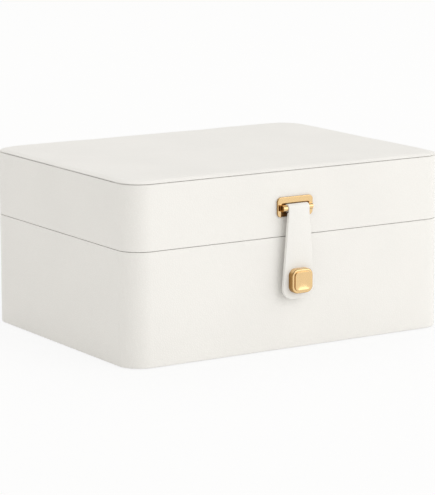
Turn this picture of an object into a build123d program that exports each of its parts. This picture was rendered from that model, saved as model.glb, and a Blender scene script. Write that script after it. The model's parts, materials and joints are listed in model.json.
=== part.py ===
from build123d import *
import math
import os

# Travel jewellery box in millimetres, +Z up, front towards -Y.
# The origin lies on the table under the middle of the box.

# Outside of the box
box_width = 200.0
box_depth = 150.0
corner_radius = 13.0
least_radius = 1.0
seam_height = 61.0
seam_gap = 0.28
lid_wall_top = 95.5
rim_round = 0.6
largest_share = 0.9

# Layers of a wall, from the outside in
leather = 0.9
core = 4.0
lining = 1.3
glue = 0.1

# Base
felt = 0.5
felt_inset = 4.0
bottom_hem = 16.0
floor_board = 4.0
floor_pad = 1.6
lining_drop = 0.8
velvet_round = 0.7

# Padded lid top, mirror and its panel
crown_rise = 1.4
crown_run = 4.5
crown_steps = 4
cover_inset = 0.3
cover_seam = 0.3
lid_board = 3.0
ceiling_panel = 2.6
mirror_border = 18.5
mirror_corner = 5.0
mirror_glass = 2.0
mirror_gap = 0.3

# Lower compartment
divider = 2.4
divider_height = 22.5
divider_gap = 0.3
ledge = 3.0
ledge_length = 104.0
ledge_height = 25.0

# Lift-out tray
tray_gap = 0.9
tray_rest_gap = 0.2
tray_height = 24.0
tray_wall = 2.4
tray_floor = 2.0
tray_divider = 1.8
tray_divider_drop = 2.0
ring_bed = 62.0
front_row = 66.0
rear_left_cell = 58.0
roll_count = 7
roll_height = 17.0
roll_gap = 0.6
tab_width = 12.0
tab_ribbon = 0.8
tab_reach = 7.0
tab_tail = 9.0
tab_corner = 3.0

# Stop hinges at the rear
hinge_spread = 110.0
hinge_length = 26.0
knuckle_count = 5
knuckle_radius = 2.2
knuckle_gap = 0.2
hinge_pin_radius = 1.0
hinge_gap = 0.3
running_gap = 0.05
leaf = 0.9
leaf_reach = 10.5
leaf_corner = 1.6
lid_open_angle = 100.0
heel_reach = 3.8
heel_thickness = 1.1
stop_gap = 0.12
pin_head_radius = 1.6
pin_head = 0.5

# Countersunk hinge screws
screw_spread = 17.0
screw_drop = 6.6
screw_radius = 0.9
screw_head_radius = 1.8
screw_head = 0.7
screw_length = 4.4
screw_slot_width = 0.4
screw_slot_depth = 0.3
screw_gap = 0.05

# Strap bracket on the lid
pin_height = 76.3
pin_offset = 2.75
strap_pin_radius = 1.1
back_plate = 0.25
back_plate_inset = 0.15
bracket = 0.95
bracket_width = 22.2
bracket_corner = 2.4
top_rail = 3.4
side_rail = 2.2
window_above_pin = 2.3
leg_below_pin = 5.0
bracket_round = 0.3
boss_radius = 1.7
boss_seat = 0.4
slot_width = 1.1
slot_height = 2.6
slot_round = 0.5
stud_spread = 14.0
stud_radius = 1.0
stud_gap = 0.1
nut_across_flats = 4.0
nut = 1.6
washer_radius = 2.5
washer = 0.4

# Strap
loop_radius = 2.25
strap_front = 1.0
strap_backing = 1.0
strap_top_width = 12.9
strap_low_width = 20.4
strap_low_corner = 6.5
strap_end_height = 27.9
strap_side_gap = 0.2
strap_edge_round = 0.35

# Magnetic clasp
clasp_height = 37.9
cap_width = 13.2
cap_height = 13.1
cap_corner = 3.8
cap_body = 3.2
cap_edge_round = 0.8
cap_border = 1.5
cap_pillow = 1.0
cap_dome_radius = 30.0
cap_pillow_round = 0.2
cup_radius = 6.0
cup_wall = 0.9
magnet = 0.9
magnet_gap = 0.05
rivet_radius = 1.5
rivet_sink = 1.3
keeper_radius = 6.0
keeper = 0.9
keeper_round = 0.3
keeper_shank_radius = 1.5
keeper_gap = 0.3
keeper_washer_radius = 4.2
keeper_washer = 0.8
keeper_head_radius = 2.6
keeper_head = 0.6
counterbore_gap = 0.3

# Places worked out from the sizes above
half_width = box_width / 2
half_depth = box_depth / 2
core_face = leather + glue
core_back = core_face + core
lining_face = core_back + glue
cavity = lining_face + lining
base_rim = seam_height - seam_gap / 2
lid_rim = seam_height + seam_gap / 2
board_low = felt + leather + glue
floor_top = board_low + floor_board
pad_low = floor_top + glue
pad_top = pad_low + floor_pad
ceiling = lid_wall_top - lid_board
panel_low = ceiling - glue - ceiling_panel
ledge_top = pad_top + ledge_height
tray_low = ledge_top + tray_rest_gap
tray_top = tray_low + tray_height
tray_inset = cavity + tray_gap
cell_inset = tray_inset + tray_wall
cell_x = half_width - cell_inset
cell_y = half_depth - cell_inset
cell_corner = max(corner_radius - cell_inset, least_radius)
cell_low = tray_low + tray_floor
bed_right = -cell_x + ring_bed
hinge_y = half_depth + hinge_gap + knuckle_radius
front_of_strap = pin_offset + loop_radius
back_of_strap = front_of_strap - strap_front - strap_backing
bracket_low = pin_height - leg_below_pin
window_high = pin_height + window_above_pin
bracket_height = window_high + top_rail - bracket_low
bracket_middle = bracket_low + bracket_height / 2
stud_height = window_high + top_rail / 2
counterbore_depth = core - nut - washer
keeper_recess = keeper_washer + keeper_head + counterbore_gap

# Frames whose X runs along the wall, Y upwards and Z out of the wall
on_front = Pos(0, -half_depth, 0) * Rot(X=90)
on_rear = Pos(0, half_depth, 0) * Rot(Z=180) * Rot(X=90)
hinge_axis = Pos(0, hinge_y, seam_height)


def outline(inset):
    """Rounded plan of the box, drawn in by inset."""
    radius = max(corner_radius - inset, least_radius)
    return RectangleRounded(box_width - 2 * inset, box_depth - 2 * inset, radius)


def plate(inset, low, high):
    """Upright slab with the plan of the box."""
    return Pos(0, 0, low) * extrude(outline(inset), high - low)


def block(x, y, z):
    """Box between three pairs of limits."""
    size = [high - low for low, high in (x, y, z)]
    middle = [(high + low) / 2 for low, high in (x, y, z)]
    return Pos(*middle) * Box(*size)


def peg(x, height, radius, low, high):
    """Round peg that stands out of a wall, between two distances from it."""
    return Pos(x, height, low) * extrude(Circle(radius), high - low)


def bar(radius, length):
    """Round bar along X."""
    return Rot(Y=90) * Cylinder(radius, length)


def group(solids):
    return Compound(children=list(solids))


def soft_top(board):
    """Board covered in velvet, with its upper edges rounded."""
    return fillet(board.edges().group_by(Axis.Z)[-1], velvet_round)


# Walls of the base and the lid

def hinge_screw_places():
    """Screw middles in the rear frame: along the wall and up or down from the seam."""
    return [
        (hinge + side, drop)
        for hinge in (-hinge_spread / 2, hinge_spread / 2)
        for side in (-screw_spread / 2, screw_spread / 2)
        for drop in (-screw_drop, screw_drop)
    ]


def screw_holes():
    depth = screw_length - leaf + counterbore_gap
    return [
        on_rear * peg(x, seam_height + drop, screw_radius + screw_gap, -depth, leaf)
        for x, drop in hinge_screw_places()
    ]


def stud_holes():
    return [
        on_front * peg(x, stud_height, stud_radius + stud_gap, -core_back, 0)
        for x in (-stud_spread / 2, stud_spread / 2)
    ]


def keeper_hole():
    return on_front * peg(0, clasp_height, keeper_shank_radius + running_gap, -core_back, 0)


def wall_wrap(low, high, low_opening, high_opening):
    """Leather skin round a wall, turned in over its lower and upper edges."""
    skin = plate(0, low, high)
    rims = skin.edges().group_by(Axis.Z)
    skin = fillet(rims[0] + rims[-1], min(rim_round, largest_share * leather))
    skin -= plate(leather, low + leather, high - leather)
    skin -= plate(low_opening, low, low + leather)
    skin -= plate(high_opening, high - leather, high)
    return skin


def base_wrap():
    skin = wall_wrap(felt, base_rim, bottom_hem, core_back)
    return skin - screw_holes() - keeper_hole()


def lid_wrap():
    skin = wall_wrap(lid_rim, lid_wall_top, core_back, core_back)
    return skin - screw_holes() - stud_holes()


def wall_boards(low, high):
    """Four wall boards and the four quarter-round posts between them."""
    straight_x = (corner_radius - half_width, half_width - corner_radius)
    straight_y = (corner_radius - half_depth, half_depth - corner_radius)
    height = (low, high)
    ring = plate(core_face, low, high) - plate(core_back, low, high)
    far_x = (half_width - corner_radius, half_width)
    far_y = (half_depth - corner_radius, half_depth)
    near_x = (-half_width, corner_radius - half_width)
    near_y = (-half_depth, corner_radius - half_depth)
    posts = [(ring & block(x, y, height)).solids()[0] for x in (near_x, far_x) for y in (near_y, far_y)]
    return {
        "front_board": block(straight_x, (core_face - half_depth, core_back - half_depth), height),
        "rear_board": block(straight_x, (half_depth - core_back, half_depth - core_face), height),
        "left_board": block((core_face - half_width, core_back - half_width), straight_y, height),
        "right_board": block((half_width - core_back, half_width - core_face), straight_y, height),
        "corner_posts": group(posts),
    }


def base_boards():
    boards = wall_boards(board_low, base_rim - leather - glue)
    recess = on_front * peg(0, clasp_height, keeper_washer_radius + counterbore_gap,
                            -core_back, keeper_recess - core_back)
    boards["front_board"] = boards["front_board"] - keeper_hole() - recess
    boards["rear_board"] = boards["rear_board"] - screw_holes()
    return {"base_" + name: board for name, board in boards.items()}


def lid_boards():
    boards = wall_boards(lid_rim + leather + glue, lid_wall_top - leather - glue)
    front = boards["front_board"] - stud_holes()
    for x in (-stud_spread / 2, stud_spread / 2):
        front -= on_front * peg(x, stud_height, washer_radius + counterbore_gap,
                                -core_back, counterbore_depth - core_back)
    boards["front_board"] = front
    boards["rear_board"] = boards["rear_board"] - screw_holes()
    return {"lid_" + name: board for name, board in boards.items()}


# Inside of the base

def base_inside():
    lining_ring = plate(lining_face, pad_low, base_rim - lining_drop)
    lining_ring -= plate(cavity, pad_low, base_rim - lining_drop)
    return {
        "base_felt": plate(felt_inset, 0, felt),
        "base_floor_board": plate(lining_face, board_low, floor_top),
        "base_lining": lining_ring,
        "base_floor_pad": plate(cavity + glue, pad_low, pad_top),
    }


def lower_dividers():
    """Two crossing dividers, each slotted to half its height where they meet."""
    low = pad_top
    middle = low + divider_height / 2
    high = low + divider_height
    reach_x = half_width - cavity - ledge - divider_gap
    reach_y = half_depth - cavity - divider_gap
    half = divider / 2
    slot = half + divider_gap / 2
    long_board = soft_top(block((-reach_x, reach_x), (-half, half), (low, high)))
    cross_board = soft_top(block((-half, half), (-reach_y, reach_y), (low, high)))
    return {
        "divider_long": long_board - block((-slot, slot), (-half, half), (middle, high)),
        "divider_cross": cross_board - block((-half, half), (-slot, slot), (low, middle + divider_gap)),
    }


def tray_ledges():
    """Strips on the end walls that carry the tray."""
    outer = half_width - cavity
    length = (-ledge_length / 2, ledge_length / 2)
    height = (pad_top, ledge_top)
    left = block((-outer, ledge - outer), length, height)
    right = block((outer - ledge, outer), length, height)
    return group([left, right])


# Lift-out tray

def tray():
    ring = soft_top(plate(tray_inset, tray_low, tray_top) - plate(cell_inset, tray_low, tray_top))
    floor = plate(cell_inset + glue, tray_low, cell_low)
    divider_top = tray_top - tray_divider_drop
    height = (cell_low, divider_top)
    row = -cell_y + front_row
    cell_left = bed_right + tray_divider
    rear_split = cell_left + rear_left_cell
    bed_divider = block((bed_right, cell_left), (-cell_y, cell_y), height)
    row_divider = block((cell_left, cell_x), (row, row + tray_divider), height)
    rear_divider = block((rear_split, rear_split + tray_divider), (row + tray_divider, cell_y), height)
    return {
        "tray_walls": ring,
        "tray_floor": floor,
        "tray_bed_divider": soft_top(bed_divider),
        "tray_row_divider": soft_top(row_divider),
        "tray_rear_divider": soft_top(rear_divider),
        "tray_pull_tabs": tray_tabs(),
    } | ring_rolls()


def tray_tabs():
    """Ribbon tabs inside the front and rear walls, to lift the tray by."""
    width = (-tab_width / 2, tab_width / 2)
    height = (tray_top - tab_tail, tray_top + tab_reach)
    front = block(width, (-cell_y, tab_ribbon - cell_y), height)
    rear = block(width, (cell_y - tab_ribbon, cell_y), height)
    tabs = []
    for tab in (front, rear):
        top_corners = tab.edges().filter_by(Axis.Y).group_by(Axis.Z)[-1]
        tabs.append(fillet(top_corners, tab_corner))
    return group(tabs)


def ring_rolls():
    """Padded rolls that hold rings between them: upright sides under a half-round crown."""
    pitch = 2 * cell_y / roll_count
    width = pitch - roll_gap
    crown = width / 2
    upright = roll_height - crown
    profile = Pos(0, upright / 2) * Rectangle(width, upright) + Pos(0, upright) * Circle(crown)
    profile -= Pos(0, -crown) * Rectangle(2 * width, 2 * crown)
    length = ring_bed - 2 * roll_gap
    roll = Rot(Z=90) * Rot(X=90) * extrude(profile, length / 2, both=True)
    roll = fillet(roll.edges().filter_by(Axis.Z), cell_corner)
    middle = -cell_x + ring_bed / 2
    rolls = {}
    for index in range(roll_count):
        place = Pos(middle, -cell_y + pitch * (index + 0.5), cell_low)
        rolls[f"ring_roll_{index + 1}"] = place * roll
    return rolls


# Lid top, mirror and lining

def crowned(inset, low, rise):
    """Padded slab whose edge curves up over a quarter ellipse to a flat top."""
    sections = []
    for step in range(crown_steps):
        turn = math.radians(90 * step / (crown_steps - 1))
        drawn_in = inset + crown_run * (1 - math.cos(turn))
        sections.append(Pos(0, 0, low + rise * math.sin(turn)) * outline(drawn_in))
    return loft(sections)


def lid_top():
    """Board level with the walls, thin pad on it and a leather cover that stops short of the walls."""
    pad_foot = lid_wall_top + glue
    cover_rim = lid_wall_top + cover_seam
    pad_rise = cover_rim + crown_rise - leather - pad_foot
    hollow = crowned(cover_inset + leather - glue / 2, pad_foot, pad_rise + glue / 2)
    return {
        "lid_top_board": plate(lining_face, ceiling, lid_wall_top),
        "lid_top_pad": crowned(cover_inset + leather, pad_foot, pad_rise),
        "lid_top_cover": crowned(cover_inset, cover_rim, crown_rise) - hollow,
    }


def lid_inside():
    lining_ring = plate(lining_face, lid_rim + lining_drop, ceiling - glue)
    lining_ring -= plate(cavity, lid_rim + lining_drop, ceiling - glue)
    glass_width = box_width - 2 * (cavity + mirror_border)
    glass_depth = box_depth - 2 * (cavity + mirror_border)
    window = RectangleRounded(glass_width + 2 * mirror_gap, glass_depth + 2 * mirror_gap,
                              mirror_corner + mirror_gap)
    panel = plate(cavity + glue, panel_low, ceiling - glue)
    panel -= Pos(0, 0, panel_low) * extrude(window, ceiling_panel)
    glass = extrude(RectangleRounded(glass_width, glass_depth, mirror_corner), mirror_glass)
    return {
        "lid_lining": lining_ring,
        "lid_mirror_panel": panel,
        "mirror": Pos(0, 0, ceiling - glue - mirror_glass) * glass,
    }


# Hinges

def knuckle_spans(lid_side):
    """X limits of one leaf's knuckles along the hinge."""
    pitch = hinge_length / knuckle_count
    first = 1 if lid_side else 0
    starts = [pitch * index - hinge_length / 2 for index in range(first, knuckle_count, 2)]
    return [(start + knuckle_gap / 2, start + pitch - knuckle_gap / 2) for start in starts]


def stop_heel(span):
    """Lug that meets the lower leaf when the lid is fully open, drawn there and turned back to rest."""
    wall = -(hinge_gap + knuckle_radius)
    near = wall + leaf + stop_gap
    return Rot(X=lid_open_angle) * block(span, (near, near + heel_thickness), (-heel_reach, 0))


def hinge_leaf(lid_side):
    """One leaf about the hinge axis: plate on the wall, rolled knuckles and screw holes."""
    up = 1 if lid_side else -1
    wall = -(hinge_gap + knuckle_radius)
    thickness = (wall, wall + leaf)
    inner = knuckle_radius + hinge_gap
    body = block((-hinge_length / 2, hinge_length / 2), thickness, sorted((up * inner, up * leaf_reach)))
    corners = body.edges().filter_by(Axis.Y).sort_by(Axis.Z)
    body = fillet(corners[-2:] if lid_side else corners[:2], leaf_corner)
    for span in knuckle_spans(lid_side):
        middle = (span[0] + span[1]) / 2
        body += block(span, thickness, sorted((0, up * (inner + leaf))))
        body += Pos(middle, 0, 0) * bar(knuckle_radius, span[1] - span[0])
        if lid_side:
            body += stop_heel(span)
    body -= bar(hinge_pin_radius + running_gap, 2 * hinge_length)
    for x in (-screw_spread / 2, screw_spread / 2):
        sink = Cone(screw_radius + screw_gap, screw_head_radius + screw_gap, screw_head,
                    align=(Align.CENTER, Align.CENTER, Align.MAX))
        hole = Cylinder(screw_radius + screw_gap, 3 * leaf)
        body -= Pos(x, wall + leaf, up * screw_drop) * Rot(X=-90) * (sink + hole)
    return body


def at_hinges(shape):
    """Copies of a shape about the hinge axis, one at each hinge."""
    return group(hinge_axis * Pos(x, 0, 0) * shape for x in (-hinge_spread / 2, hinge_spread / 2))


def hinge_pin():
    head = Pos(hinge_length / 2 + pin_head / 2, 0, 0) * bar(pin_head_radius, pin_head)
    return bar(hinge_pin_radius, hinge_length) + head + Rot(Z=180) * head


def hinge_screw():
    """Countersunk screw with its head at zero and its tip along -Z."""
    head = Cone(screw_radius, screw_head_radius, screw_head, align=(Align.CENTER, Align.CENTER, Align.MAX))
    shank = Cylinder(screw_radius, screw_length, align=(Align.CENTER, Align.CENTER, Align.MAX))
    slot = Box(3 * screw_head_radius, screw_slot_width, 2 * screw_slot_depth)
    return head + shank - slot


def hinge_screws(lid_side):
    up = 1 if lid_side else -1
    places = [(x, drop) for x, drop in hinge_screw_places() if drop * up > 0]
    return group(on_rear * Pos(x, seam_height + drop, leaf) * hinge_screw() for x, drop in places)


# Strap bracket, strap and clasp

def strap_bracket():
    """Frame open at its foot, with the bosses that hold the strap's bar and the studs behind it."""
    frame = Pos(0, bracket_middle) * RectangleRounded(bracket_width, bracket_height, bracket_corner)
    window_width = bracket_width - 2 * side_rail
    window_height = window_high - bracket_low + bracket_corner
    window = RectangleRounded(window_width, window_height, bracket_corner / 2)
    frame -= Pos(0, window_high - window_height / 2) * window
    side_middle = (bracket_width - side_rail) / 2
    slot = RectangleRounded(slot_width, slot_height, min(slot_round, largest_share * slot_width / 2))
    for x in (-side_middle, side_middle):
        frame -= Pos(x, pin_height) * slot
    body = Pos(0, 0, back_plate) * extrude(frame, bracket)
    body = fillet(body.faces().sort_by(Axis.Z)[-1].outer_wire().edges(), bracket_round)
    boss_inner = strap_top_width / 2 + strap_side_gap
    boss_outer = window_width / 2 + boss_seat
    boss = Pos(pin_height, pin_offset) * Circle(boss_radius)
    web = Rectangle(2 * boss_radius, pin_offset - back_plate)
    boss += Pos(pin_height, (back_plate + pin_offset) / 2) * web
    for x in (-boss_outer, boss_inner):
        turned = Plane(origin=(x, 0, 0), x_dir=(0, 1, 0), z_dir=(1, 0, 0)) * boss
        body += extrude(turned, boss_outer - boss_inner)
    body -= Pos(0, pin_height, pin_offset) * bar(strap_pin_radius + running_gap, bracket_width)
    for x in (-stud_spread / 2, stud_spread / 2):
        body += peg(x, stud_height, stud_radius, -core_back + glue, back_plate)
    return on_front * body


def bracket_back_plate():
    """Thin sheet that closes the bracket's window from behind."""
    sheet = RectangleRounded(bracket_width - 2 * back_plate_inset, bracket_height - 2 * back_plate_inset,
                             bracket_corner - back_plate_inset)
    body = Pos(0, bracket_middle) * extrude(sheet, back_plate)
    for x in (-stud_spread / 2, stud_spread / 2):
        body -= peg(x, stud_height, stud_radius + stud_gap, 0, back_plate)
    return on_front * body


def bracket_fasteners():
    seat = counterbore_depth - core_back
    washers = []
    nuts = []
    for x in (-stud_spread / 2, stud_spread / 2):
        hole = peg(x, stud_height, stud_radius + running_gap, seat - washer - nut, seat)
        flat = peg(x, stud_height, washer_radius, seat - washer, seat) - hole
        hexagon = Pos(x, stud_height) * RegularPolygon(nut_across_flats / 2, 6, major_radius=False)
        washers.append(on_front * flat)
        nuts.append(on_front * (Pos(0, 0, seat - washer - nut) * extrude(hexagon, nut) - hole))
    return {"bracket_washers": group(washers), "bracket_nuts": group(nuts)}


def strap_pin():
    length = bracket_width - 2 * side_rail + 2 * boss_seat
    return on_front * Pos(0, pin_height, pin_offset) * bar(strap_pin_radius, length)


def strap_outline(top):
    """Front view of the strap below a height: it widens downwards to a rounded end."""
    shoulder = pin_height - loop_radius
    half_top = strap_top_width / 2
    half_low = strap_low_width / 2
    side = (half_low - half_top) / (shoulder - strap_end_height)
    half_cut = half_top + side * max(0, shoulder - top)
    right = [(half_low, strap_end_height), (half_cut, top)]
    if top > shoulder:
        right.insert(1, (half_top, shoulder))
    left = [(-x, height) for x, height in reversed(right)]
    shape = Polygon(*right, *left, align=None)
    return fillet(shape.vertices().group_by(Axis.Y)[0], strap_low_corner)


def strap_ply(top, back, front):
    body = Pos(0, 0, back) * extrude(strap_outline(top), front - back)
    return body - peg(0, clasp_height, rivet_radius + running_gap, back, front)


def strap():
    split = back_of_strap + strap_backing
    front_ply = strap_ply(pin_height, split, front_of_strap)
    front_edges = front_ply.faces().sort_by(Axis.Z)[-1].outer_wire().edges()
    below_loop = front_edges.filter_by(lambda edge: edge.center().Y < pin_height - glue)
    front_ply = fillet(below_loop, strap_edge_round)
    front_ply += Pos(0, pin_height, pin_offset) * bar(loop_radius, strap_top_width)
    front_ply -= Pos(0, pin_height, pin_offset) * bar(strap_pin_radius + running_gap, 2 * strap_top_width)
    backing = strap_ply(pin_height - loop_radius - strap_side_gap, back_of_strap, split)
    return {"strap_front": on_front * front_ply, "strap_backing": on_front * backing}


def clasp_cap():
    base = Pos(0, clasp_height) * RectangleRounded(cap_width, cap_height, cap_corner)
    body = extrude(base, cap_body)
    body = fillet(body.edges().group_by(Axis.Z)[-1], cap_edge_round)
    inner = Pos(0, clasp_height) * RectangleRounded(
        cap_width - 2 * cap_border, cap_height - 2 * cap_border, cap_corner - cap_border)
    cap_front = cap_body + cap_pillow
    ball = Pos(0, clasp_height, cap_front - cap_dome_radius) * Sphere(cap_dome_radius)
    pillow = extrude(inner, cap_front) & ball
    dome = pillow.faces().filter_by(GeomType.SPHERE)[0]
    body += fillet(dome.edges(), cap_pillow_round)
    body -= peg(0, clasp_height, rivet_radius + running_gap, 0, rivet_sink + running_gap)
    return on_front * Pos(0, 0, front_of_strap) * body


def clasp_back():
    """Magnet in its cup behind the strap, and the rivet that ties the cup to the cap."""
    cup_face = keeper + keeper_gap
    cup = peg(0, clasp_height, cup_radius, cup_face, back_of_strap)
    pocket = cup_radius - cup_wall
    cup -= peg(0, clasp_height, pocket, cup_face, cup_face + magnet + magnet_gap)
    cup -= peg(0, clasp_height, rivet_radius + running_gap, cup_face, back_of_strap)
    disc = peg(0, clasp_height, pocket - magnet_gap, cup_face, cup_face + magnet)
    rivet_low = cup_face + magnet + magnet_gap
    rivet = peg(0, clasp_height, rivet_radius, rivet_low, front_of_strap + rivet_sink)
    return {
        "clasp_cup": on_front * cup,
        "clasp_magnet": on_front * disc,
        "clasp_rivet": on_front * rivet,
    }


def clasp_keeper():
    """Steel plate on the base that the magnet holds to, riveted through the front wall."""
    disc = peg(0, clasp_height, keeper_radius, 0, keeper)
    disc = fillet(disc.edges().group_by(Axis.Z)[-1], keeper_round)
    seat = keeper_recess - core_back
    shank = peg(0, clasp_height, keeper_shank_radius, seat - keeper_washer, 0)
    head = peg(0, clasp_height, keeper_head_radius, seat - keeper_washer - keeper_head, seat - keeper_washer)
    ring = peg(0, clasp_height, keeper_washer_radius, seat - keeper_washer, seat)
    ring -= peg(0, clasp_height, keeper_shank_radius + running_gap, seat - keeper_washer, seat)
    return {"keeper_plate": on_front * (disc + shank + head), "keeper_washer": on_front * ring}


def all_parts():
    parts = {"base_wrap": base_wrap(), "lid_wrap": lid_wrap()}
    parts |= base_boards() | base_inside() | lower_dividers() | {"tray_ledges": tray_ledges()}
    parts |= tray()
    parts |= lid_boards() | lid_top() | lid_inside()
    parts["hinge_leaves_base"] = at_hinges(hinge_leaf(lid_side=False))
    parts["hinge_leaves_lid"] = at_hinges(hinge_leaf(lid_side=True))
    parts["hinge_pins"] = at_hinges(hinge_pin())
    parts["hinge_screws_base"] = hinge_screws(lid_side=False)
    parts["hinge_screws_lid"] = hinge_screws(lid_side=True)
    parts["strap_bracket"] = strap_bracket()
    parts["bracket_back_plate"] = bracket_back_plate()
    parts["strap_pin"] = strap_pin()
    parts |= bracket_fasteners() | strap() | {"clasp_cap": clasp_cap()} | clasp_back() | clasp_keeper()
    return parts


os.makedirs("parts", exist_ok=True)
for node, shape in all_parts().items():
    export_step(shape, f"parts/{node}.step")
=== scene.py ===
import json
import math

import bmesh
import bpy
from mathutils import Matrix, Vector, noise


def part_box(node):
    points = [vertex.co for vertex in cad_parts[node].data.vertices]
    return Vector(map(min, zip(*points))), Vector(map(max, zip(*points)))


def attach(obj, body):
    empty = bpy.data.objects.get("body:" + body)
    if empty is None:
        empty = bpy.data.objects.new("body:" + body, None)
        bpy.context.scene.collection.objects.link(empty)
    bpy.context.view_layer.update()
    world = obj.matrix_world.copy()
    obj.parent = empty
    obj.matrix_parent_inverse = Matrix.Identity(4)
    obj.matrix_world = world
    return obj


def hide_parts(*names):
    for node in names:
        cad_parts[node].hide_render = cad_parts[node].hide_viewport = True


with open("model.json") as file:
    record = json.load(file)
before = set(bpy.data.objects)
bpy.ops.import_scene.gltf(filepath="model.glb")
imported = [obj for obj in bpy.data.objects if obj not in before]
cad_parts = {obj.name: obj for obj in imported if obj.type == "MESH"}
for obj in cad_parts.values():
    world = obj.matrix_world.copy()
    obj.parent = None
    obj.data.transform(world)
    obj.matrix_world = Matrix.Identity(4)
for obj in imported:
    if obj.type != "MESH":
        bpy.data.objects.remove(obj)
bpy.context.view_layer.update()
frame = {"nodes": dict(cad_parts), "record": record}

nodes = frame["nodes"]
MM = 0.001

# Camera: stand, aim and focal length read from the box's edges in the photograph
CAMERA_PLACE = Vector((-727.23, -1135.11, 297.54)) * MM
CAMERA_YAW = 0.570
CAMERA_PITCH = 0.187
FILM_HEIGHT = 36.0
FOCAL_LENGTH = 180.85

# Lights, and the sky and floor behind the box
AMBIENT = 0.80
AMBIENT_COLOUR = (1.0, 0.985, 0.955)
LIGHT_DISTANCE = 3.2
LIGHT_AIM = Vector((0, 0, 0.05))
SOFT_LIGHTS = {
    # name: degrees right of the front, degrees up, width in metres, watts
    "key_light": (34, 19, 3.2, 36.5),
    "rear_light": (151, 59, 2.4, 15.0),
}
SKY_FADE = (-0.12, 0.45)
SKY_OVERHEAD = 0.5
FLOOR_REACH = 12.0
FLOOR_COLOUR = (0.90, 0.90, 0.895)
FLOOR_GLOW = 0.84

# Colours, as linear light
WHITE_LEATHER = (0.890, 0.878, 0.850)
EDGE_PAINT = (0.885, 0.872, 0.842)
VELVET = (0.560, 0.485, 0.405)
RIBBON = (0.720, 0.630, 0.520)
FELT = (0.480, 0.450, 0.400)
GOLD = (0.860, 0.605, 0.310)
# Painted shade: the darker gold given to the sides stands in for the dark reflections on them
GOLD_PAINTED_SHADE = (0.400, 0.225, 0.075)
# Painted shade: the gold back plate in the bracket's recess is coloured dark brown, as it looks in shadow
RECESS_PAINTED_SHADE = (0.240, 0.120, 0.042)
NICKEL = (0.600, 0.585, 0.560)
SILVERING = (0.930, 0.940, 0.940)
FIBREBOARD = (0.330, 0.205, 0.110)
FOAM = (0.780, 0.740, 0.640)


# Shader maths

# Sockets of a Mix node go by number, because their names repeat for each type of data
MIX_VECTORS = (4, 5)
MIXED_VECTOR = 1
MIX_COLOURS = (6, 7)
MIXED_COLOUR = 2

# How squarely a face looks up or along the depth, from full painted shade to none
PAINTED_SHADE_RANGE = (0.30, 0.80)


class Signal:
    """An output socket of a node tree that can stand in a sum or a product."""

    def __init__(self, owner, socket):
        self.owner = owner
        self.socket = socket

    def math(self, operation, first, second):
        return self.owner.node("ShaderNodeMath", {"operation": operation}, {0: first, 1: second})

    def larger(self, other):
        return self.math("MAXIMUM", self, other)

    def __add__(self, other):
        return self.math("ADD", self, other)

    def __sub__(self, other):
        return self.math("SUBTRACT", self, other)

    def __rsub__(self, other):
        return self.math("SUBTRACT", other, self)

    def __mul__(self, other):
        return self.math("MULTIPLY", self, other)

    __radd__ = __add__
    __rmul__ = __mul__


class Nodes:
    """The node tree of a material or of the world."""

    def __init__(self, owner):
        owner.use_nodes = True
        self.tree = owner.node_tree

    def node(self, kind, settings=None, inputs=None, output=0):
        """Adds a node with its settings, then its values and links, and returns one of its outputs."""
        made = self.tree.nodes.new(kind)
        for name, value in (settings or {}).items():
            setattr(made, name, value)
        for socket, value in (inputs or {}).items():
            if isinstance(value, Signal):
                self.tree.links.new(value.socket, made.inputs[socket])
            else:
                made.inputs[socket].default_value = value
        return Signal(self, made.outputs[output])

    def fit(self, signal, low, high, to_low=0.0, to_high=1.0):
        """Smooth step of a signal from one range to another."""
        return self.node("ShaderNodeMapRange", {"interpolation_type": "SMOOTHSTEP"}, {
            "Value": signal, "From Min": low, "From Max": high, "To Min": to_low, "To Max": to_high})

    def seen_directly(self):
        """1 for camera, mirror and glass rays, 0 for the light on the object."""
        camera, mirror, glass = (self.node("ShaderNodeLightPath", output=f"Is {kind} Ray")
                                 for kind in ("Camera", "Glossy", "Transmission"))
        return camera.larger(mirror).larger(glass)

    def show(self, shader):
        """Makes a shader the one that the tree's output shows."""
        end = next(node for node in self.tree.nodes if node.bl_idname.startswith("ShaderNodeOutput"))
        self.tree.links.new(shader.socket, end.inputs["Surface"])


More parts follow.
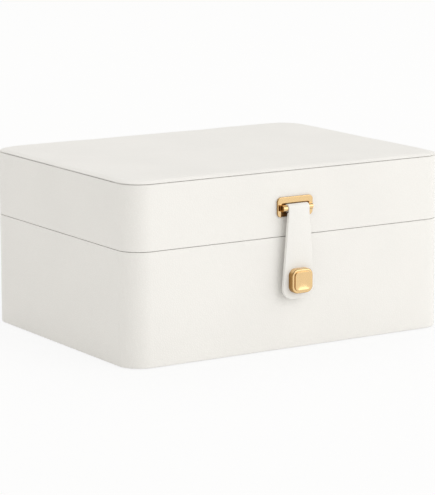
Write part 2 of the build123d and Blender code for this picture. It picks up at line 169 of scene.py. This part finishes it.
class Finish(Nodes):
    """A material round one Principled shader, with constants on its own sockets."""

    def __init__(self, name, **constants):
        self.material = bpy.data.materials.new(name)
        super().__init__(self.material)
        self.shader = self.tree.nodes["Principled BSDF"]
        for socket, value in constants.items():
            self.shader.inputs[socket.replace("_", " ")].default_value = value

    def place(self, stretch=(1, 1, 1)):
        """Object coordinates, drawn out along the axes."""
        here = self.node("ShaderNodeTexCoord", output="Object")
        return self.node("ShaderNodeMapping", inputs={"Vector": here, "Scale": stretch})

    def swayed(self, where, per_metre, amount):
        """Coordinates that wander a little, so that a pattern on them isn't regular."""
        drift = self.node("ShaderNodeTexNoise", inputs={"Vector": where, "Scale": per_metre}, output="Color")
        sides = dict(zip(MIX_VECTORS, (where, drift)))
        return self.node("ShaderNodeMix", {"data_type": "VECTOR"}, {0: amount, **sides}, output=MIXED_VECTOR)

    def noise(self, where, per_metre, detail=3.0, roughness=0.5):
        return self.node("ShaderNodeTexNoise", inputs={
            "Vector": where, "Scale": per_metre, "Detail": detail, "Roughness": roughness})

    def cells(self, where, per_metre):
        """Distance to the edges of scattered cells."""
        return self.node("ShaderNodeTexVoronoi", {"feature": "DISTANCE_TO_EDGE"}, {
            "Vector": where, "Scale": per_metre})

    def threads(self, where, per_metre, along, distortion):
        """Even bands across an axis, as in a woven cloth."""
        bands = self.node("ShaderNodeTexWave", {"bands_direction": along}, {
            "Vector": where, "Scale": per_metre, "Distortion": distortion})
        return self.fit(bands, low=0.0, high=1.0)

    def painted_shade_mask(self):
        """1 on faces that look up or along the box's depth, 0 on the other sides, where shade is painted."""
        normal = self.node("ShaderNodeTexCoord", output="Normal")
        depth, up = (self.node("ShaderNodeSeparateXYZ", inputs={0: normal}, output=axis) for axis in "YZ")
        return self.fit(depth * depth, *PAINTED_SHADE_RANGE).larger(self.fit(up, *PAINTED_SHADE_RANGE))

    def mix(self, amount, first, second):
        """Colour mix: first where amount is 0, second where it is 1."""
        colours = [side if isinstance(side, Signal) else (*side, 1.0) for side in (first, second)]
        sides = dict(zip(MIX_COLOURS, colours))
        return self.node("ShaderNodeMix", {"data_type": "RGBA"}, {0: amount, **sides}, output=MIXED_COLOUR)

    def tones(self, amount, colour, dark, light):
        """A colour between two shades of it: dark where amount is 0, light where it is 1."""
        return self.mix(amount, shade(colour, dark), shade(colour, light))

    def feed(self, socket, signal):
        """Links a signal to a socket of the Principled shader."""
        self.tree.links.new(signal.socket, self.shader.inputs[socket])

    def relief(self, height, depth, strength):
        """Bumps the surface by a signal, to a depth in metres."""
        self.feed("Normal", self.node("ShaderNodeBump", inputs={
            "Height": height, "Distance": depth, "Strength": strength}))


def shade(colour, factor):
    return tuple(channel * factor for channel in colour)


def leather(name, colour, grain_per_metre=850.0):
    """Coated leather: pebbled grain with painted shade in its creases, fine pores, faint clouding."""
    finish = Finish(name, IOR=1.46)
    where = finish.place()
    bent = finish.swayed(where, per_metre=160.0, amount=0.0006)
    pebble = finish.fit(finish.cells(bent, grain_per_metre), low=0.0, high=0.30)
    pores = finish.noise(where, per_metre=5200.0, detail=2.0, roughness=0.6)
    clouds = finish.noise(where, per_metre=22.0)
    tone = finish.tones(finish.fit(clouds, low=0.30, high=0.70), colour, dark=0.985, light=1.010)
    # Painted shade: the creases between the pebbles are coloured darker
    finish.feed("Base Color", finish.mix((1 - pebble) * 0.25, tone, shade(colour, 0.93)))
    finish.feed("Roughness", 0.42 + (1 - pebble) * 0.10 + clouds * 0.08)
    finish.relief(pebble + pores * 0.22, depth=0.05 * MM, strength=0.40)
    return finish.material


def velvet(name, colour):
    """Short pile: brushed patches, fine fibre ends with painted shade between them, and a soft sheen at
    grazing angles.
    """
    sheen = (*shade(colour, 1.5), 1.0)
    finish = Finish(name, Sheen_Weight=0.55, Sheen_Roughness=0.38, Sheen_Tint=sheen, IOR=1.35)
    where = finish.place()
    brushed = finish.noise(where, per_metre=34.0, detail=4.0, roughness=0.55)
    fibres = finish.noise(where, per_metre=2600.0, detail=2.0, roughness=0.7)
    tufts = finish.noise(where, per_metre=700.0, detail=2.0, roughness=0.6)
    patches = finish.tones(finish.fit(brushed, low=0.34, high=0.66), colour, dark=0.86, light=1.07)
    # Painted shade: the colour darkens between the fibre ends
    between = finish.fit(fibres, low=0.36, high=0.62, to_low=1.0, to_high=0.0)
    finish.feed("Base Color", finish.mix(between, patches, shade(colour, 0.62)))
    finish.feed("Roughness", 0.80 + tufts * 0.18)
    finish.relief(fibres * 0.7 + tufts * 0.5, depth=0.22 * MM, strength=0.55)
    return finish.material


def plated(name, colour, roughness, painted_side_shade=None):
    """Plated metal: polish haze, hairlines and, if asked for, painted shade that makes the sides darker than
    the faces that look up or along the depth.
    """
    finish = Finish(name, Metallic=1.0)
    hair = finish.noise(finish.place((1, 1, 9)), per_metre=1900.0, roughness=0.6)
    cloud = finish.noise(finish.place(), per_metre=240.0)
    tone = finish.tones(cloud, colour, dark=0.95, light=1.03)
    if painted_side_shade:
        # Painted shade: the sides of the metal get a darker colour than the faces
        tone = finish.mix(finish.painted_shade_mask(), painted_side_shade, tone)
    finish.feed("Base Color", tone)
    finish.feed("Roughness", roughness + cloud * 0.06 + hair * 0.04)
    finish.relief(hair, depth=0.002 * MM, strength=0.25)
    return finish.material


def mirror_silver(name):
    """Silvered glass with the faint marks of a wiping cloth."""
    finish = Finish(name, Metallic=1.0)
    strokes = finish.noise(finish.place((1, 3, 1)), per_metre=26.0, detail=4.0, roughness=0.6)
    wiped = finish.fit(strokes, low=0.50, high=0.78)
    haze = finish.noise(finish.place(), per_metre=900.0)
    finish.feed("Base Color", finish.mix(wiped * 0.5, SILVERING, shade(SILVERING, 0.97)))
    finish.feed("Roughness", 0.004 + wiped * 0.018 + haze * 0.004)
    return finish.material


def felt(name, colour):
    """Pressed felt: matted strands over soft lumps."""
    finish = Finish(name, Sheen_Weight=0.25, IOR=1.35)
    strands = finish.noise(finish.place((1, 4, 1)), per_metre=900.0, detail=4.0, roughness=0.7)
    lumps = finish.noise(finish.place(), per_metre=160.0)
    tone = finish.tones(finish.fit(strands, low=0.35, high=0.65), colour, dark=0.78, light=1.10)
    finish.feed("Base Color", tone)
    finish.feed("Roughness", 0.86 + lumps * 0.12)
    finish.relief(strands + lumps * 0.4, depth=0.30 * MM, strength=0.7)
    return finish.material


def satin_ribbon(name, colour):
    """Woven satin: long threads and faint cross ribs."""
    finish = Finish(name, Sheen_Weight=0.3, IOR=1.45)
    where = finish.place()
    threads = finish.threads(where, per_metre=900.0, along="X", distortion=0.6)
    ribs = finish.threads(where, per_metre=420.0, along="Z", distortion=0.3)
    finish.feed("Base Color", finish.tones(threads, colour, dark=0.88, light=1.06))
    finish.feed("Roughness", 0.34 + ribs * 0.14)
    finish.relief(threads * 0.6 + ribs * 0.4, depth=0.04 * MM, strength=0.6)
    return finish.material


def fibrous(name, colour, roughness, fibres_per_metre):
    """Fibreboard or foam: a short open grain."""
    finish = Finish(name)
    where = finish.place()
    chips = finish.noise(where, fibres_per_metre, detail=4.0, roughness=0.7)
    clouds = finish.noise(where, per_metre=90.0, detail=2.0)
    tone = finish.tones(finish.fit(chips, low=0.35, high=0.65), colour, dark=0.80, light=1.15)
    finish.feed("Base Color", tone)
    finish.feed("Roughness", roughness + clouds * 0.15)
    finish.relief(chips, depth=0.05 * MM, strength=0.5)
    return finish.material


FINISHES = {
    "leather": leather("white_leather", WHITE_LEATHER),
    "edge": leather("painted_strap_edge", EDGE_PAINT, grain_per_metre=2200.0),
    "velvet": velvet("greige_velvet", VELVET),
    "ribbon": satin_ribbon("satin_ribbon", RIBBON),
    "felt": felt("pressed_felt", FELT),
    "gold": plated("light_gold_plating", GOLD, roughness=0.13, painted_side_shade=GOLD_PAINTED_SHADE),
    # The slot keeps its name dark_brass; its finish is painted shade on the gold in the recess
    "dark_brass": plated("recess_painted_shade_metal", RECESS_PAINTED_SHADE, roughness=0.42),
    "steel": plated("nickel_plating", NICKEL, roughness=0.22),
    "magnet": plated("magnet_plating", shade(NICKEL, 0.85), roughness=0.12),
    "mirror": mirror_silver("mirror_silvering"),
    "board": fibrous("raw_fibreboard", FIBREBOARD, roughness=0.72, fibres_per_metre=1400.0),
    "foam": fibrous("foam_sheet", FOAM, roughness=0.84, fibres_per_metre=2600.0),
}


# Making pieces

MERGE_DISTANCE = 0.001 * MM
LEVEL_WITHIN = 1e-7
SHARP_TURN = math.radians(50)


def add_object(name, data):
    """New object in the scene, at the origin."""
    made = bpy.data.objects.new(name, data)
    bpy.context.scene.collection.objects.link(made)
    return made


def mesh_of(name, bm):
    """New mesh in the form of a bmesh."""
    mesh = bpy.data.meshes.new(name)
    bm.to_mesh(mesh)
    return mesh


def shaped_mesh(thing):
    """New mesh of an object as its modifiers leave it."""
    return bpy.data.meshes.new_from_object(thing.evaluated_get(bpy.context.evaluated_depsgraph_get()))


def finish_piece(name, body, bm, finishes, crease_degrees=38.0):
    """Turns a bmesh into a piece that rides on a body, smooth but for its sharp edges."""
    bmesh.ops.remove_doubles(bm, verts=bm.verts, dist=MERGE_DISTANCE)
    bmesh.ops.recalc_face_normals(bm, faces=bm.faces)
    for face in bm.faces:
        face.smooth = True
    for edge in bm.edges:
        edge.smooth = edge.calc_face_angle(0.0) < math.radians(crease_degrees)
    mesh = mesh_of(name, bm)
    bm.free()
    for key in finishes:
        mesh.materials.append(FINISHES[key])
    piece = add_object(name, mesh)
    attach(piece, body)
    return piece


def soften(piece):
    """One level of subdivision over a finished piece."""
    smooth = piece.modifiers.new("soft", "SUBSURF")
    smooth.levels = 1
    smooth.render_levels = 1


def verts_of(geometry):
    return [item for item in geometry if isinstance(item, bmesh.types.BMVert)]


def square_to_width(edges):
    """The edges whose two ends are level along the box's width."""
    return [edge for edge in edges if abs(edge.verts[0].co.x - edge.verts[1].co.x) < LEVEL_WITHIN]


def bevel(bm, geometry, offset, segments, affect="EDGES", clamp=False):
    bmesh.ops.bevel(bm, geom=geometry, offset=offset, offset_type="OFFSET", affect=affect, segments=segments,
                    profile=0.5, clamp_overlap=clamp, material=-1)


def bevel_sharp(bm, offset, segments):
    """Rounds every sharp edge of a closed form."""
    sharp = [edge for edge in bm.edges if edge.calc_face_angle(0.0) > SHARP_TURN]
    bevel(bm, sharp, offset, segments, clamp=True)


def rounded_face(bm, corners, radii, segments):
    """Flat face through the corners, in order, each rounded by its own radius; a bmesh's only face."""
    verts = [bm.verts.new(corner) for corner in corners]
    bm.faces.new(verts)
    for vert, radius in zip(verts, radii):
        if radius:
            bevel(bm, [vert], radius, segments, affect="VERTICES")
    bm.faces.ensure_lookup_table()
    return bm.faces[0]


def divide_sides(bm, face, longest):
    """Cuts a face's longer sides into equal lengths no longer than the given one."""
    for edge in list(face.edges):
        cuts = math.ceil(edge.calc_length() / longest) - 1
        if cuts:
            bmesh.ops.subdivide_edges(bm, edges=[edge], cuts=cuts)


def raise_face(bm, face, move, scale=(1, 1, 1)):
    """Extrudes a face by a vector, scaled about the frame's axes, and returns the far face."""
    is_start = all(edge.is_boundary for edge in face.edges)
    made = bmesh.ops.extrude_face_region(bm, geom=[face])["geom"]
    bmesh.ops.translate(bm, verts=verts_of(made), vec=move)
    bmesh.ops.scale(bm, verts=verts_of(made), vec=scale)
    if not is_start:  # it would stay inside the form
        bmesh.ops.delete(bm, geom=[face], context="FACES_ONLY")
    return next(item for item in made if isinstance(item, bmesh.types.BMFace))


def crown_face(bm, face, run, rise, steps):
    """Draws a face in and up along a quarter ellipse, as a cover pulled over padding."""
    for step in range(steps):
        near = math.radians(90 * step / steps)
        far = math.radians(90 * (step + 1) / steps)
        bmesh.ops.inset_region(bm, faces=[face], thickness=run * (math.cos(near) - math.cos(far)),
                               use_even_offset=True)
        bmesh.ops.translate(bm, verts=face.verts, vec=(0, 0, rise * (math.sin(far) - math.sin(near))))


def plan_corners(low, high, height):
    """Corners of a box's plan, in order, at a height."""
    return [(low.x, low.y, height), (high.x, low.y, height),
            (high.x, high.y, height), (low.x, high.y, height)]


# Padding, blown up by cloth simulation

SIM_SCALE = 20.0
SIM_FRAMES = 20
LEAST_MOVE = 1e-9


def swell(bm, held, pressure, farthest):
    """Moves a closed cover's points as its padding would, and none beyond the farthest move.

    Points for which held is true stay where they are. The cover is simulated as a larger copy,
    because the solver is made for cloth a metre across.
    """
    bm.verts.index_update()
    mesh = mesh_of("cover", bm)
    mesh.transform(Matrix.Scale(SIM_SCALE, 4))
    cover = add_object("cover", mesh)
    still = cover.vertex_groups.new(name="held")
    still.add([vert.index for vert in bm.verts if held(vert.co)], 1.0, "REPLACE")
    cloth = cover.modifiers.new("cloth", "CLOTH")
    cloth.settings.vertex_group_mass = "held"
    cloth.settings.use_pressure = True
    cloth.settings.uniform_pressure_force = pressure
    cloth.settings.effector_weights.gravity = 0.0
    cloth.point_cache.frame_end = SIM_FRAMES
    for step in range(1, SIM_FRAMES + 1):
        bpy.context.scene.frame_set(step)
    for vert, moved in zip(bm.verts, shaped_mesh(cover).vertices):
        move = moved.co / SIM_SCALE - vert.co
        vert.co += move * min(1.0, farthest / max(move.length, LEAST_MOVE))
    bpy.context.scene.frame_set(1)
    bpy.data.objects.remove(cover)


PANEL_PRESSURE = 2.0
PANEL_WALL = 0.05 * MM
PANEL_SIDE = 6.0 * MM
PANEL_LOOSE_EDGE = 0.2 * MM
# Rings of a panel's field, each as a share of the one outside it
FIELD_RINGS = (0.96, 0.93, 0.90, 0.875, 0.85, 0.82, 0.79, 0.75, 0.69, 0.60, 0.40)


def padded_panel(name, body, slot, node, corner, edge_run, field_rise):
    """Flat pad under a tight cover: a rolled edge, and a field that swells a little."""
    low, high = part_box(node)
    bm = bmesh.new()
    bottom = rounded_face(bm, plan_corners(low, high, low.z), [corner] * 4, segments=12)
    divide_sides(bm, bottom, PANEL_SIDE)
    top = raise_face(bm, bottom, (0, 0, PANEL_WALL))
    crown_face(bm, top, edge_run, high.z - low.z - PANEL_WALL - field_rise, steps=8)
    for share in FIELD_RINGS:
        top = raise_face(bm, top, (0, 0, 0), (share, share, 1))
    held_below = high.z - field_rise - PANEL_LOOSE_EDGE
    swell(bm, lambda point: point.z < held_below, PANEL_PRESSURE, field_rise)
    piece = finish_piece(name, body, bm, [slot])
    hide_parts(node)


def remeshed(bm, voxel):
    """The same closed form in even cells."""
    even = add_object("even", mesh_of("even", bm))
    bm.free()
    cells = even.modifiers.new("cells", "REMESH")
    cells.mode = "VOXEL"
    cells.voxel_size = voxel
    result = bmesh.new()
    result.from_mesh(shaped_mesh(even))
    bpy.data.objects.remove(even)
    return result


ROLL_COUNT = 7
ROLL_SLACK = 0.7 * MM
ROLL_PRESSURE = 4.0
ROLL_FOOT_ROUND = 1.2 * MM
ROLL_HEAD_SHARE = 0.98
ROLL_END_ROUND = 2.6 * MM
ROLL_CELL = 1.3 * MM
ROLL_HELD_HEIGHT = 1.0 * MM
LUMPS_PER_METRE = 90.0
LUMP_HEIGHT = 0.25 * MM
LUMP_SHIFT = 7.3


def ring_roll(number):
    """Velvet over a foam roll: cut small, then swollen to fill its place."""
    node = f"ring_roll_{number}"
    low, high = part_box(node)
    slack = Vector((ROLL_SLACK, ROLL_SLACK, 0))
    inner_low = low + slack
    inner_high = high - slack - Vector((0, 0, ROLL_SLACK))
    head_round = (inner_high.y - inner_low.y) / 2 * ROLL_HEAD_SHARE
    x = inner_low.x
    corners = [(x, inner_low.y, low.z), (x, inner_high.y, low.z),
               (x, inner_high.y, inner_high.z), (x, inner_low.y, inner_high.z)]
    bm = bmesh.new()
    end = rounded_face(bm, corners, [ROLL_FOOT_ROUND] * 2 + [head_round] * 2, segments=9)
    raise_face(bm, end, (inner_high.x - inner_low.x, 0, 0))
    bevel(bm, square_to_width(bm.edges), ROLL_END_ROUND, segments=5)
    bmesh.ops.recalc_face_normals(bm, faces=bm.faces)
    bm = remeshed(bm, ROLL_CELL)
    for vert in bm.verts:
        lump = noise.noise(vert.co * LUMPS_PER_METRE + Vector((number * LUMP_SHIFT, 0, 0)))
        vert.co += vert.normal * lump * LUMP_HEIGHT
    swell(bm, lambda point: point.z < low.z + ROLL_HELD_HEIGHT, ROLL_PRESSURE, ROLL_SLACK)
    for vert in bm.verts:
        for axis in range(3):
            vert.co[axis] = min(max(vert.co[axis], low[axis]), high[axis])
    piece = finish_piece(f"velvet_roll_{number}", "tray", bm, ["velvet"], crease_degrees=80.0)
    soften(piece)
    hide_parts(node)


# Leather round the walls

CORNER_RADIUS = 13.0 * MM
LEAST_RADIUS = 1.0 * MM
LEATHER_THICKNESS = 0.9 * MM
RIM_ROUND = 0.6 * MM
SEAM_ROUND = 0.3 * MM
RIM_STEPS = 5
FLAT_MARGIN = 0.5 * MM
SIDE_CUTS = 24
RIM_HEM = 5.0 * MM
BOTTOM_HEM = 16.0 * MM


def wrap_section(low, high, low_hem, high_hem, low_round, high_round):
    """Closed section of a wrap, as insets and heights: rounded rims, turned in at foot and head."""
    turns = [math.radians(90 * step / RIM_STEPS) for step in range(RIM_STEPS + 1)]
    foot = [(low_round * (1 - math.sin(turn)), low + low_round * (1 - math.cos(turn))) for turn in turns]
    head = [(high_round * (1 - math.cos(turn)), high - high_round * (1 - math.sin(turn))) for turn in turns]
    wall = [(0.0, low + low_round + FLAT_MARGIN), (0.0, high - high_round - FLAT_MARGIN)]
    inner_low = low + LEATHER_THICKNESS
    inner_high = high - LEATHER_THICKNESS
    inside = [(high_hem, high), (high_hem, inner_high), (LEATHER_THICKNESS, inner_high),
              (LEATHER_THICKNESS, inner_low), (low_hem, inner_low), (low_hem, low)]
    return foot + wall + head + inside


def plan_loop(bm, low, high, inset, height):
    """Edges of the box's rounded plan, drawn in by inset, with its four sides cut up."""
    drawn_in = Vector((inset, inset, 0))
    radius = max(CORNER_RADIUS - inset, LEAST_RADIUS)
    corners = plan_corners(low + drawn_in, high - drawn_in, height)
    face = rounded_face(bm, corners, [radius] * 4, segments=16)
    sides = sorted(face.edges, key=lambda edge: edge.calc_length())[-4:]
    bmesh.ops.subdivide_edges(bm, edges=sides, cuts=SIDE_CUTS)
    edges = list(face.edges)
    bmesh.ops.delete(bm, geom=[face], context="FACES_ONLY")
    return edges


def wall_leather(name, body, node, low_hem, low_round, high_round):
    """Leather band round the base or the lid, bridged from point to point of its section."""
    low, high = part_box(node)
    bm = bmesh.new()
    section = wrap_section(low.z, high.z, low_hem, RIM_HEM, low_round, high_round)
    loops = [plan_loop(bm, low, high, inset, height) for inset, height in section]
    for loop, following in zip(loops, loops[1:] + loops[:1]):
        bmesh.ops.bridge_loops(bm, edges=loop + following)
    piece = finish_piece(name, body, bm, ["leather"])
    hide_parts(node)


# Gold cap of the clasp

CAP_CORNER = 3.8 * MM
CAP_ROUND = 0.8 * MM
CAP_BORDER = 1.5 * MM
CAP_STEP = 0.7 * MM
CAP_STEP_ROUND = 0.18 * MM
CAP_DISH = 0.45 * MM
CAP_RINGS = 9


def clasp_cap():
    """Soft square cap: rounded border, a step and a dished face. Made lying down, then stood up."""
    low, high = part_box("clasp_cap")
    middle = (low + high) / 2
    reach = Vector(((high.x - low.x) / 2, (high.z - low.z) / 2, 0))
    border_height = (high.y - low.y) - CAP_STEP
    bm = bmesh.new()
    seat = rounded_face(bm, plan_corners(-reach, reach, 0.0), [CAP_CORNER] * 4, segments=12)
    top = raise_face(bm, seat, (0, 0, border_height - CAP_ROUND))
    crown_face(bm, top, CAP_ROUND, CAP_ROUND, steps=6)
    bmesh.ops.inset_region(bm, faces=[top], thickness=CAP_BORDER - CAP_ROUND, use_even_offset=True)
    top = raise_face(bm, top, (0, 0, CAP_STEP - CAP_STEP_ROUND))
    crown_face(bm, top, CAP_STEP_ROUND, CAP_STEP_ROUND, steps=3)
    shares = [1 - ring / CAP_RINGS for ring in range(CAP_RINGS)]
    for near, far in zip(shares, shares[1:]):
        sink = CAP_DISH * (near ** 2 - far ** 2)
        top = raise_face(bm, top, (0, 0, -sink), (far / near, far / near, 1))
    stand = Matrix.Translation((0, high.y, middle.z)) @ Matrix.Rotation(math.radians(90), 4, "X")
    bmesh.ops.transform(bm, matrix=stand, verts=bm.verts)
    piece = finish_piece("gold_clasp_cap", "strap", bm, ["gold"])
    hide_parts("clasp_cap")


# Strap

STRAP_END = 27.9 * MM
STRAP_SHOULDER = 74.05 * MM
STRAP_HALF_TOP = 6.45 * MM
STRAP_HALF_LOW = 10.2 * MM
STRAP_LOW_CORNER = 6.5 * MM
STRAP_FRONT = -80.0 * MM
STRAP_SPLIT = -79.0 * MM
STRAP_BACK = -78.0 * MM
BACKING_TOP = 73.85 * MM
PIN = Vector((0, -77.75, 76.3)) * MM
LOOP_TURN = math.radians(262)
STRAP_EDGE = 0.28 * MM
# How squarely a face looks sideways to be painted as an edge
EDGE_FACING = 0.75


def strap_ply(name, node, back, front, top, looped):
    """One leather of the strap, widening to its rounded end; the front one turns round the bar."""
    slope = (STRAP_HALF_LOW - STRAP_HALF_TOP) / (STRAP_SHOULDER - STRAP_END)
    half_top = STRAP_HALF_TOP + slope * max(0.0, STRAP_SHOULDER - top)
    right = [(STRAP_HALF_LOW, STRAP_END), (half_top, top)]
    if looped:
        right.insert(1, (STRAP_HALF_TOP, STRAP_SHOULDER))
    outline = right + [(-x, z) for x, z in reversed(right)]
    radii = [STRAP_LOW_CORNER] + [0] * (len(outline) - 2) + [STRAP_LOW_CORNER]
    bm = bmesh.new()
    flat = rounded_face(bm, [(x, back, z) for x, z in outline], radii, segments=10)
    raise_face(bm, flat, (0, front - back, 0))
    if looped:
        end = max(bm.faces, key=lambda face: face.calc_center_median().z)
        bmesh.ops.spin(bm, geom=[end, *end.edges, *end.verts], cent=PIN, axis=(-1, 0, 0), angle=LOOP_TURN,
                       steps=26)
    bmesh.ops.recalc_face_normals(bm, faces=bm.faces)
    bevel_sharp(bm, STRAP_EDGE, segments=3)
    for face in bm.faces:
        face.material_index = 1 if abs(face.normal.x) > EDGE_FACING else 0
    piece = finish_piece(name, "strap", bm, ["leather", "edge"])
    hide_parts(node)


# Ribbon tabs of the tray

TAB_THICKNESS = 0.8 * MM
TAB_BEND_RADIUS = 11.0 * MM
TAB_BEND = math.radians(34)
TAB_EAR_ROUND = 2.6 * MM
TAB_EDGE = 0.2 * MM


def pull_tabs():
    """Folded ribbon: up the wall of the tray, then leaning in over the cells."""
    low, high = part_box("tray_pull_tabs")
    straight = (high.z - low.z) - TAB_BEND_RADIUS * TAB_BEND
    bm = bmesh.new()
    for wall, inward in ((low.y, 1), (high.y, -1)):
        inner = wall + inward * TAB_THICKNESS
        corners = [(low.x, wall, low.z), (high.x, wall, low.z), (high.x, inner, low.z), (low.x, inner, low.z)]
        foot = bm.faces.new([bm.verts.new(corner) for corner in corners])
        neck = raise_face(bm, foot, (0, 0, straight))
        centre = (0, wall + inward * TAB_BEND_RADIUS, low.z + straight)
        turned = bmesh.ops.spin(bm, geom=[neck, *neck.edges, *neck.verts], cent=centre, axis=(-inward, 0, 0),
                                angle=TAB_BEND, steps=8)["geom_last"]
        ends = [item for item in turned if isinstance(item, bmesh.types.BMEdge)]
        bevel(bm, square_to_width(ends), TAB_EAR_ROUND, segments=6)
    bmesh.ops.recalc_face_normals(bm, faces=bm.faces)
    bevel_sharp(bm, TAB_EDGE, segments=2)
    piece = finish_piece("satin_pull_tabs", "tray", bm, ["ribbon"])
    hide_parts("tray_pull_tabs")


# Finishes of the CAD nodes

def dress_nodes():
    """Gives every node the finish of its slot. The ones that a piece replaces don't show."""
    slots = {part["node"]: part["material_slot"] for part in frame["record"]["subparts"]}
    for name, node in nodes.items():
        node.data.materials.clear()
        node.data.materials.append(FINISHES[slots[name]])


# Stage, light and camera

def set_world():
    """Even light all round; seen directly, white at the horizon and greyer overhead."""
    world = bpy.data.worlds.new("studio")
    bpy.context.scene.world = world
    sky = Nodes(world)
    direction = sky.node("ShaderNodeTexCoord", output="Generated")
    height = sky.node("ShaderNodeSeparateXYZ", inputs={0: direction}, output="Z")
    ambient = sky.node("ShaderNodeBackground", inputs={
        "Color": (*AMBIENT_COLOUR, 1.0), "Strength": AMBIENT})
    backdrop = sky.node("ShaderNodeBackground", inputs={
        "Color": (1, 1, 1, 1), "Strength": sky.fit(height, *SKY_FADE, to_low=1.0, to_high=SKY_OVERHEAD)})
    sky.show(sky.node("ShaderNodeMixShader", inputs={0: sky.seen_directly(), 1: ambient, 2: backdrop}))


def set_floor():
    """Matt pale floor that keeps the shadow and shows nearly white."""
    bm = bmesh.new()
    bmesh.ops.create_grid(bm, x_segments=1, y_segments=1, size=FLOOR_REACH)
    mesh = mesh_of("floor", bm)
    bm.free()
    paint = Finish("pale_floor", Base_Color=(*FLOOR_COLOUR, 1), Roughness=1.0, Specular_IOR_Level=0.0)
    matt = Signal(paint, paint.shader.outputs[0])
    glow = paint.node("ShaderNodeEmission")
    paint.show(paint.node("ShaderNodeMixShader", inputs={
        0: paint.seen_directly() * FLOOR_GLOW, 1: matt, 2: glow}))
    mesh.materials.append(paint.material)
    add_object("floor", mesh)


def soft_light(name, turn_degrees, tilt_degrees, width, watts):
    """Square soft light that faces the box."""
    turn = math.radians(turn_degrees)
    tilt = math.radians(tilt_degrees)
    away = Vector((math.sin(turn) * math.cos(tilt), -math.cos(turn) * math.cos(tilt), math.sin(tilt)))
    data = bpy.data.lights.new(name, "AREA")
    data.size = width
    data.energy = watts
    lamp = add_object(name, data)
    lamp.location = LIGHT_AIM + away * LIGHT_DISTANCE
    lamp.rotation_euler = (-away).to_track_quat("-Z", "Y").to_euler()


def set_camera():
    data = bpy.data.cameras.new("camera")
    data.sensor_fit = "VERTICAL"
    data.sensor_height = FILM_HEIGHT
    data.lens = FOCAL_LENGTH
    camera = add_object("camera", data)
    ahead = Vector((math.sin(CAMERA_YAW) * math.cos(CAMERA_PITCH),
                    math.cos(CAMERA_YAW) * math.cos(CAMERA_PITCH), -math.sin(CAMERA_PITCH)))
    camera.rotation_euler = ahead.to_track_quat("-Z", "Y").to_euler()
    camera.location = CAMERA_PLACE
    bpy.context.scene.camera = camera


bpy.context.scene.view_settings.view_transform = "Standard"
set_camera()
set_world()
set_floor()
for light, setting in SOFT_LIGHTS.items():
    soft_light(light, *setting)

dress_nodes()
padded_panel("lid_top_padding", "lid", "leather", "lid_top_cover",
             corner=12.7 * MM, edge_run=4.6 * MM, field_rise=0.25 * MM)
padded_panel("base_floor_cushion", "base", "velvet", "base_floor_pad",
             corner=6.5 * MM, edge_run=2.2 * MM, field_rise=0.35 * MM)
wall_leather("base_wall_leather", "base", "base_wrap", BOTTOM_HEM, RIM_ROUND, SEAM_ROUND)
wall_leather("lid_wall_leather", "lid", "lid_wrap", RIM_HEM, SEAM_ROUND, RIM_ROUND)
for number in range(1, ROLL_COUNT + 1):
    ring_roll(number)
strap_ply("strap_front_leather", "strap_front", STRAP_SPLIT, STRAP_FRONT, PIN.z, looped=True)
strap_ply("strap_back_leather", "strap_backing", STRAP_BACK, STRAP_SPLIT, BACKING_TOP, looped=False)
clasp_cap()
pull_tabs()
